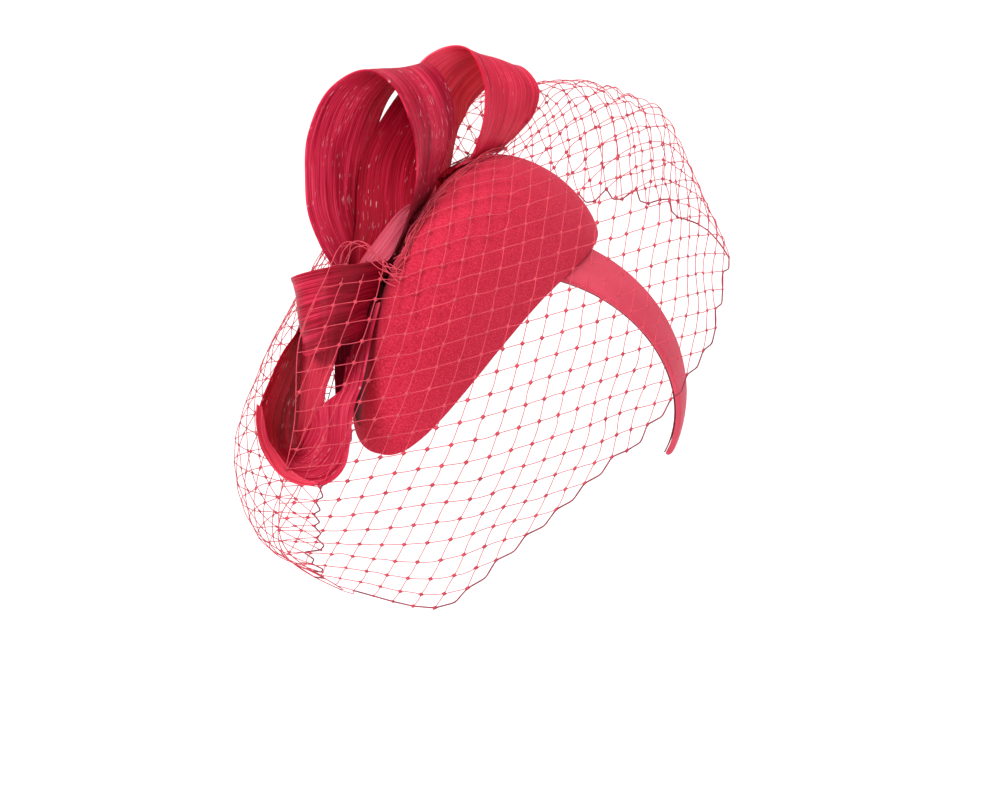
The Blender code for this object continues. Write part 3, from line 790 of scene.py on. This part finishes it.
def band_cloths(tag, sign, nodes, hinge):
    """The cover and lining of one half of the band, from the crown to just past the arm's tip."""
    angle, share = band_rows(sign)
    widths = band_width(angle)
    start, end = (tuple(band_point(np.array(sign * turn), 2 * MM, 0.0))
                  for turn in (hinge - BLEND_HALF, hinge + BLEND_HALF))

    rows = []
    for ang, full, part in zip(angle, widths, share):
        route = cover_section(full, part)
        rows.append(band_point(np.full(len(route), ang), route[:, 0], route[:, 1]))
    width = np.array([run_length(row) for row in rows])
    along = np.broadcast_to((angle * BAND_RADIUS)[:, None], width.shape)
    cover = surface(f"band_cover_{tag}_cloth", np.array(rows), MATS["crepe"], width, along)
    solidify(cover, 0.5 * MM)
    finished(cover, "crepe", *nodes, body=None)
    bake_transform(cover)

    rows = []
    for ang, full, part in zip(angle, widths, share):
        half = max((full / 2 - 1.6 * MM) * part, 0.15 * MM)
        rows.append(band_point(np.full(9, ang), np.full(9, 0.3 * MM), np.linspace(-half, half, 9)))
    strip = surface(f"band_lining_{tag}_cloth", np.array(rows), MATS["backing"])
    solidify(strip, 0.6 * MM)
    finished(strip, "lining", *[name.replace("cover", "lining") for name in nodes], body=None)
    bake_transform(strip)


def headband():
    band_cloths("left", 1, ("band_cover_left", "band_cover_middle"), HINGE_LEFT)
    band_cloths("right", -1, ("band_cover_right", "band_cover_middle"), HINGE_RIGHT)
    for name, mat in (("band_core_middle", "plastic"), ("band_core_left", "plastic"),
                      ("band_core_right", "plastic"), ("hat_edge_wire", "wire")):
        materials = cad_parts[name].data.materials
        materials.clear()
        materials.append(MATS[mat])


# ---------------- bow

def rounded(grid, half, normal, column, beside):
    """Lines round a strip's long cut edge, from the face that normal points to, to the other."""
    edge = unit(grid[:, column] - grid[:, beside])
    return [grid[:, column] + half[:, column] * (normal[:, column] * math.cos(t * math.pi)
                                                 + edge * math.sin(t * math.pi))
            for t in (0.25, 0.5, 0.75)]


def strip_rise(v, run, across, seed, bow, ripple, pleat):
    """How far a strip stands off its plain path: bowed, rippled, pleated at its ends, ribbed."""
    ends = (np.exp(-(run / PLEAT_REACH) ** 2) * pleat[0]
            + np.exp(-((run[-1] - run) / PLEAT_REACH) ** 2) * pleat[1])
    waves = (wobble(v * 6.0, seed, 4, 0.6, 1.8)[None]
             * wobble(run / run[-1] * 6, seed + 1, 4, 0.6, 1.6)[:, None])
    fold = np.sin(v * 2 * np.pi * 2.6 + seed)[None] * ends[:, None] * 1.3 * MM
    fibres = 0.055 * MM * wobble(across / MM * 1.0 + run[:, None] / MM * 0.006, seed + 2, 9, 0.9, 4.2)
    return bow * MM * (4 * v * (1 - v))[None] + ripple * MM * waves + fold + fibres


def strip(name, node, route, mat, seed, cells=56, bow=0.0, ripple=0.8, pleat=(1.0, 1.0), thick=0.8):
    """A folded strip of abaca through its edges' stations, as one closed thin body."""
    route = np.reshape(route, (-1, 2, 3))
    count = (len(route) - 1) * STRIP_ROWS + 1
    near, far = (catmull(route[:, k], count) * MM for k in (0, 1))
    v = np.linspace(0, 1, cells + 1)
    grid = near[:, None] + (far - near)[:, None] * v[None, :, None]
    width = np.linalg.norm(far - near, axis=1)
    run = run_length((near + far) / 2)
    across = v[None] * width[:, None]
    rise = strip_rise(v, run, across, seed, bow, ripple, pleat)
    grid = lifted(grid + normals_of(grid) * rise[..., None], STRIP_CLEAR)
    normal = normals_of(grid)
    half = thick / 2 * MM * (1 + 0.35 * np.exp(-(np.minimum(v, 1 - v) / 0.03) ** 2))[None, :, None]
    outer, inner = grid + normal * half, grid - normal * half
    sections = ([outer[:, j] for j in range(cells + 1)] + rounded(grid, half, normal, -1, -2)
                + [inner[:, j] for j in range(cells, -1, -1)] + rounded(grid, half, -normal, 0, 1))
    body = np.stack(sections, axis=1)
    loop = body.shape[1]
    faces, corners = grid_faces(count, loop, ring_cols=True)
    sideways = np.concatenate([across, np.repeat(across[:, -1:], 3, 1), across[:, ::-1],
                               np.zeros((count, 4))], 1)
    uvs = [(sideways[r, c], run[r]) for r, c in corners]
    for row in (0, count - 1):
        base, back = row * loop, row * loop + 2 * cells + 4
        for j in range(cells):
            faces.append((base + j, base + j + 1, base + 2 * cells + 3 - j, base + 2 * cells + 4 - j))
            uvs += [(across[row, k], run[row]) for k in (j, j + 1, j + 1, j)]
        faces.append(tuple(base + cells + k for k in range(5)))
        faces.append((*(back + k for k in range(4)), base))
        uvs += [(across[row, -1], run[row])] * 5 + [(0.0, run[row])] * 5
    obj = mesh_object(name, body.reshape(-1, 3), faces, MATS[mat], uvs)
    finished(obj, "abaca", node)
    return obj, float(width.mean()), float(run[-1])


def bow():
    made = [
        strip("tall_loop", "loop_tall", LOOP_TALL, "tall", 11, bow=0.8, ripple=0.9),
        strip("tall_loop_inner", "loop_tall_inner", TALL_INNER, "inner", 21, cells=40, ripple=0.5),
        strip("rear_loop", "loop_rear", LOOP_REAR, "rear", 31, bow=0.6),
        strip("low_loop", "loop_low", LOOP_LOW, "low", 41, bow=0.5, ripple=0.7, pleat=(0.6, 0.4)),
        strip("low_loop_tail", "loop_low_tail", LOOP_LOW_TAIL, "tail", 51, cells=20, ripple=0.3,
              pleat=(0.2, 0.1)),
        strip("bow_knot_strip", "bow_knot", KNOT, "knot", 61, bow=0.8, ripple=0.5, pleat=(0.4, 0.4)),
        strip("trench_twist", "trench_strip", TRENCH_STRIP, "low", 71, cells=18, ripple=0.5,
              pleat=(0.6, 0.6)),
        # The side ribbon's near-black colour is painted shade along the trench.
        strip("side_ribbon", "side_strip", SIDE_STRIP, "painted_shade", 81, cells=18, ripple=0.3,
              pleat=(0.3, 0.2)),
        strip("pale_scrap", "loop_tall_inner", PALE_STRIP, "pale", 91, cells=14, ripple=0.2,
              pleat=(0.2, 0.1), thick=0.4),
    ]
    rim, _, _ = strip("low_loop_rim", "loop_low", LOW_RIM, "tail", 45, cells=14, bow=0.5, ripple=0.1,
                      pleat=(0.0, 0.0), thick=0.6)


# ---------------- veil

def veil_grid(around=20, deep=90):
    """The veil's surface as a grid: stations round it by depth, from its lines."""
    lines = [along_path(catmull(line, 200) * MM, deep + 1) for line in VEIL]
    grid = catmull(lines, (len(lines) - 1) * around + 1)
    for _ in range(VEIL_SMOOTHING):
        grid[1:-1] = grid[1:-1] * 0.5 + (grid[:-2] + grid[2:]) * 0.25
    return lifted(grid, NET_CLEAR)


def sampled(grid, s, d):
    """Values of the grid at stations s and depths d, and their rates of change, carried on
    straight past the edges."""
    rows, cols = grid.shape[0] - 1, grid.shape[1] - 1
    x, y = s * rows, d * cols
    i, j = np.clip(x.astype(int), 0, rows - 1), np.clip(y.astype(int), 0, cols - 1)
    fx, fy = (x - i)[..., None], (y - j)[..., None]
    p00, p10, p01, p11 = grid[i, j], grid[i + 1, j], grid[i, j + 1], grid[i + 1, j + 1]
    point = (p00 * (1 - fx) + p10 * fx) * (1 - fy) + (p01 * (1 - fx) + p11 * fx) * fy
    ds = ((p10 - p00) * (1 - fy) + (p11 - p01) * fy) * rows
    dd = ((p01 - p00) * (1 - fx) + (p11 - p10) * fx) * cols
    return point, ds, dd


def laid_flat(grid):
    """The veil's surface laid flat by easing springs between its points, on the same grid."""
    coarse = grid[::4, ::5]
    around = run_length(coarse[:, FLAT_COLUMN])
    inner = np.linalg.norm(np.diff(coarse[:, 0], axis=0), axis=1).sum()
    deep = np.linalg.norm(np.diff(coarse, axis=1), axis=2).mean(axis=0)
    deep = np.concatenate([[0.0], np.cumsum(deep)])
    spread = (around[-1] - inner) / deep[FLAT_COLUMN]
    angle = around / around[-1] * spread
    radius = inner / spread + deep
    flat = np.stack([np.cos(angle)[:, None] * radius, np.sin(angle)[:, None] * radius], -1)
    whole, first, last = slice(None), slice(0, -1), slice(1, None)
    pairs = (((first, whole), (last, whole)), ((whole, first), (whole, last)),
             ((first, first), (last, last)), ((first, last), (last, first)))
    rests = [np.linalg.norm(coarse[b] - coarse[a], axis=-1) for a, b in pairs]
    starts = [np.linalg.norm(flat[b] - flat[a], axis=-1) for a, b in pairs]
    speed = np.zeros_like(flat)
    for step in range(FLAT_STEPS):
        force = np.zeros_like(flat)
        ease = min(1.0, step / FLAT_EASE)
        for (a, b), start, rest in zip(pairs, starts, rests):
            rest = start + (rest - start) * ease
            span = flat[b] - flat[a]
            size = np.linalg.norm(span, axis=-1)
            pull = span * ((size - rest) / size)[..., None]
            force[a] += pull
            force[b] -= pull
        speed = speed * 0.97 + force * 0.10
        flat = flat + speed
    rows, cols = grid.shape[:2]
    return catmull(catmull(flat, rows).transpose(1, 0, 2), cols).transpose(1, 0, 2)


def placed(flat, where, s, d, rounds=3):
    """Stations and depths of points of the flat veil, from a first guess."""
    for _ in range(rounds):
        point, ds, dd = sampled(flat, s, d)
        miss = where - point
        det = ds[..., 0] * dd[..., 1] - ds[..., 1] * dd[..., 0]
        det = np.where(np.abs(det) < 1e-6, 1e-6, det)
        s = s + np.clip((miss[..., 0] * dd[..., 1] - miss[..., 1] * dd[..., 0]) / det, -0.05, 0.05)
        d = d + np.clip((ds[..., 0] * miss[..., 1] - ds[..., 1] * miss[..., 0]) / det, -0.08, 0.08)
    return s, d


def net_lattice(flat):
    """The net's knots as a slanted lattice over the flat veil, each with its station and depth."""
    low, high = flat.reshape(-1, 2).min(0), flat.reshape(-1, 2).max(0)
    half = int(np.linalg.norm(high - low) / CELL * 0.62)
    step_a, step_b = (CELL * np.array((math.cos(turn), math.sin(turn)))
                      for turn in (NET_TURN - NET_OPEN / 2, NET_TURN + NET_OPEN / 2))
    i, j = np.meshgrid(np.arange(-half, half + 1), np.arange(-half, half + 1), indexing="ij")
    where = (low + high) / 2 + i[..., None] * step_a + j[..., None] * step_b
    rough = flat[::6, ::5]
    rows, cols = rough.shape[:2]
    points = where.reshape(-1, 2)
    gap = ((points[:, None] - rough.reshape(1, -1, 2)) ** 2).sum(-1)
    best = gap.argmin(axis=1)
    far = np.sqrt(gap.min(axis=1)) > 3.0 * CELL
    s, d = placed(flat, points, best // cols / (rows - 1), best % cols / (cols - 1), 6)
    s = np.where(far, NOWHERE, s)
    return where, s.reshape(i.shape), d.reshape(i.shape)


def in_veil(s, d):
    return (s > 0) & (s < 1) & (d > 0) & (d < 1)


def net_edges(s, d):
    """Strands between neighbouring knots as ((i, j), (i, j)) pairs, and those on the border."""
    inside = in_veil(s, d)
    past = (d > 1) & (s > 0) & (s < 1)
    first, last = slice(0, -1), slice(1, None)
    corners = ((first, first), (last, first), (first, last), (last, last))
    touched = sum(inside[c].astype(int) for c in corners) > 0
    whole = touched & (sum(past[c].astype(int) for c in corners) == 0)
    cut = touched & ~whole
    strands, border = [], []
    for i in range(1, whole.shape[0] - 1):
        for j in range(1, whole.shape[1] - 1):
            for other, next_to in (((i + 1, j), (i, j - 1)), ((i, j + 1), (i - 1, j))):
                ends = inside[i, j], inside[other]
                if not any(ends) or not (whole[i, j] or whole[next_to]):
                    continue
                strands.append(((i, j), other))
                if all(ends) and (cut[i, j] or cut[next_to]):
                    border.append(((i, j), other))
    return strands, border


def chained(pairs):
    """Pairs of knots joined end to end into runs."""
    links = {}
    for a, b in pairs:
        links.setdefault(a, []).append(b)
        links.setdefault(b, []).append(a)
    runs, used = [], set()
    starts = sorted(k for k, v in links.items() if len(v) != 2) + sorted(links)
    for start in starts:
        for first in links[start]:
            if frozenset((start, first)) in used:
                continue
            run = [start, first]
            used.add(frozenset((start, first)))
            while len(links[run[-1]]) == 2:
                ahead = [k for k in links[run[-1]] if frozenset((run[-1], k)) not in used]
                if not ahead:
                    break
                used.add(frozenset((run[-1], ahead[0])))
                run.append(ahead[0])
            runs.append(run)
    return runs


def pick(values, knots):
    return values[knots[:, 0], knots[:, 1]]


def rise(s, d):
    """How far the net stands off its surface, most behind the hat, where it's crumpled."""
    soft = 2.0 * MM * wobble(s * 55, 6, 5, 0.5, 1.6) * wobble(d * 9, 7, 4, 0.5, 1.6)
    behind = np.exp(-((s - 0.62) / 0.13) ** 2) * np.exp(-((d - 0.45) / 0.28) ** 2)
    crumple = (5.0 * MM * wobble(s * 130 + d * 14, 8, 6, 0.6, 1.7)
               * wobble(d * 26 - s * 30, 9, 5, 0.6, 1.6))
    return (soft + behind * crumple) * np.clip((d - 0.12) * 3, 0, 1)


class Veil:
    """The veil in wear and laid flat, with its net's knots, strands and border."""

    def __init__(self):
        self.grid = veil_grid()
        self.flat = laid_flat(self.grid)
        self.where, self.s, self.d = net_lattice(self.flat)
        self.strands, self.border = net_edges(self.s, self.d)
        self.degree = {}
        for pair in self.strands:
            for knot in pair:
                self.degree[knot] = self.degree.get(knot, 0) + 1
        self.tips = {knot for pair in self.border for knot in pair if self.degree[knot] == 2}

    def at(self, s, d):
        """Points of the net in wear, and the directions away from its surface."""
        point, ds, dd = sampled(self.grid, np.clip(s, 0, 1), np.clip(d, 0, 1))
        normal = unit(np.cross(ds, dd))
        return lifted(point + normal * rise(s, d)[..., None], NET_CLEAR * 0.7), normal

    def between(self, a, b, t):
        """Stations and depths at shares t of the way from knots a to knots b."""
        (qa, qb), (sa, sb), (da, db) = ((pick(values, a)[:, None], pick(values, b)[:, None])
                                        for values in (self.where, self.s, self.d))
        where = qa + (qb - qa) * t[..., None]
        return placed(self.flat, where, sa + (sb - sa) * t, da + (db - da) * t)

    def strand_parts(self, rng):
        """Tubes for the strands, cut off where they leave the net over its gather or selvedges."""
        pairs = [pair for pair in self.strands if not self.tips.intersection(pair)]
        a, b = (np.array([pair[k] for pair in pairs]) for k in (0, 1))
        t = np.array((0.0, 0.06, 0.14, 0.32, 0.5, 0.68, 0.86, 0.94, 1.0))
        check = np.linspace(0, 1, 25)
        s, d = self.between(a, b, np.broadcast_to(check, (len(a), len(check))))
        good = (s >= 0) & (s <= 1) & (d >= 0)
        flip = ~good[:, 0]
        a[flip], b[flip] = b[flip], a[flip].copy()
        good[flip] = good[flip][:, ::-1]
        kept = np.where(good.all(axis=1), 1.0, check[np.maximum(np.argmin(good, axis=1) - 1, 1)])
        paths, normal = self.at(*self.between(a, b, kept[:, None] * t))
        slack = rng.normal(0, 0.22 * MM, (len(a), 3))
        paths = paths + slack[:, None] * (4 * t * (1 - t))[None, :, None]
        return tube_parts(paths, STRAND_RADIUS, 5, normal[:, len(t) // 2])

    def knot_parts(self):
        """A flat four-pointed knot for each crossing, pointed along its strands."""
        spots = np.array(sorted(knot for knot, degree in self.degree.items()
                                if degree >= 3 and in_veil(self.s[knot], self.d[knot])))
        s, d = pick(self.s, spots), pick(self.d, spots)
        centre, normal = self.at(s, d)
        arms = []
        for step in ((1, 0), (0, 1), (-1, 0), (0, -1)):
            towards = pick(self.where, spots) * 0.8 + pick(self.where, spots + step) * 0.2
            ahead = placed(self.flat, towards, s, d)
            arms.append(unit(sampled(self.grid, *ahead)[0] - sampled(self.grid, s, d)[0]))
        arms = np.stack(arms, 1)
        slants = unit(arms + np.roll(arms, -1, axis=1))
        star = np.stack([arms * KNOT_REACH, slants * KNOT_WAIST], axis=2).reshape(len(centre), 8, 3)
        points = np.concatenate([centre[:, None] + star, (centre + normal * KNOT_HALF)[:, None],
                                 (centre - normal * KNOT_HALF)[:, None]], axis=1)
        one = [(k, (k + 1) % 8, 8) for k in range(8)] + [((k + 1) % 8, k, 9) for k in range(8)]
        faces = (np.array(one)[None] + (np.arange(len(centre)) * 10)[:, None, None]).reshape(-1, 3)
        return points.reshape(-1, 3), faces

    def border_parts(self, run):
        """A tube along a run of border knots, with its outer tips pulled in and its bends eased."""
        point, up = self.at(pick(self.s, np.array(run)), pick(self.d, np.array(run)))
        middle = (point[:-2] + point[2:]) / 2
        legs = unit(point[:-2] - point[1:-1]), unit(point[2:] - point[1:-1])
        sharp = np.clip((legs[0] * legs[1]).sum(-1) * 0.5 + 0.5, 0, 1)
        pull = np.array([knot in self.tips for knot in run[1:-1]]) * (0.30 + 0.45 * sharp)
        point[1:-1] += (middle - point[1:-1]) * pull[:, None]
        steps = np.repeat(np.arange(len(run) - 1), 6) + np.tile(np.linspace(0, 0.9999, 7)[:-1], len(run) - 1)
        low = steps.astype(int)
        f = (steps - low)[:, None]
        line = np.concatenate([point[low] * (1 - f) + point[low + 1] * f, point[-1:]])
        soft = line.copy()
        soft[1:-1] = line[1:-1] * 0.5 + (line[:-2] + line[2:]) * 0.25
        return tube_parts(soft[None], BORDER_RADIUS, 6, up[:1])


def joined(name, parts, mat):
    """One piece from several parts, each its points and faces."""
    points, faces = [], []
    for more, rings in parts:
        faces += (rings + sum(map(len, points))).tolist()
        points.append(more)
    return mesh_object(name, np.concatenate(points), faces, mat)


def gathered(veil, rng):
    """The gather thread, the net's selvedges, its bunched threads and its loose ends."""
    count, twists = 160, 30
    gather = lifted(catmull([line[0] for line in VEIL], count) * MM, 0.3 * MM)
    twist = np.linspace(0, 2 * np.pi * twists, count)
    lines = [gather + 0.25 * MM * np.stack([np.cos(twist + p), np.sin(twist + p), np.zeros(count)], -1)
             for p in (0, np.pi)]
    thread = tubes("gather_thread", lines, SEWING_RADIUS, MATS["thread"])
    finished(thread, "thread", "veil_gather_thread")

    edges = [veil.at(np.full(120, side), np.linspace(0, 1, 120))[0] for side in (0.0005, 0.9995)]
    bunch = []
    for start in rng.uniform(0, 150, 110):
        span = rng.uniform(12, 30)
        line = gather[np.clip(start + np.linspace(0, span, 5), 0, count - 1).astype(int)]
        push = rng.normal(0, 0.9 * MM, (5, 3)) + HAT_UP * rng.uniform(-2.0, 2.2) * MM
        bunch.append(along_path(catmull(line + push, 20), 12))
    ends = [along_path(catmull(line, 40) * MM, 24) for line in ENDS]
    for name, paths, radius in (("veil_selvedge", edges, STRAND_RADIUS * 1.2),
                                ("net_bunch", bunch, STRAND_RADIUS), ("net_ends", ends, STRAND_RADIUS)):
        finished(tubes(name, paths, radius, MATS["net"], 5), "net", "veil_net")


def face_veil():
    veil = Veil()
    rng = np.random.default_rng(5)
    net = joined("veil_netting", [veil.strand_parts(rng), veil.knot_parts()], MATS["net"])
    finished(net, "net", "veil_net")
    cord = joined("veil_border", [veil.border_parts(run) for run in chained(veil.border)], MATS["cord"])
    finished(cord, "thread", "veil_border_cord")
    gathered(veil, rng)


stage()
felt_shell()
crown_lining()
petersham_ribbon()
edge_stitches()
headband()
bow()
face_veil()
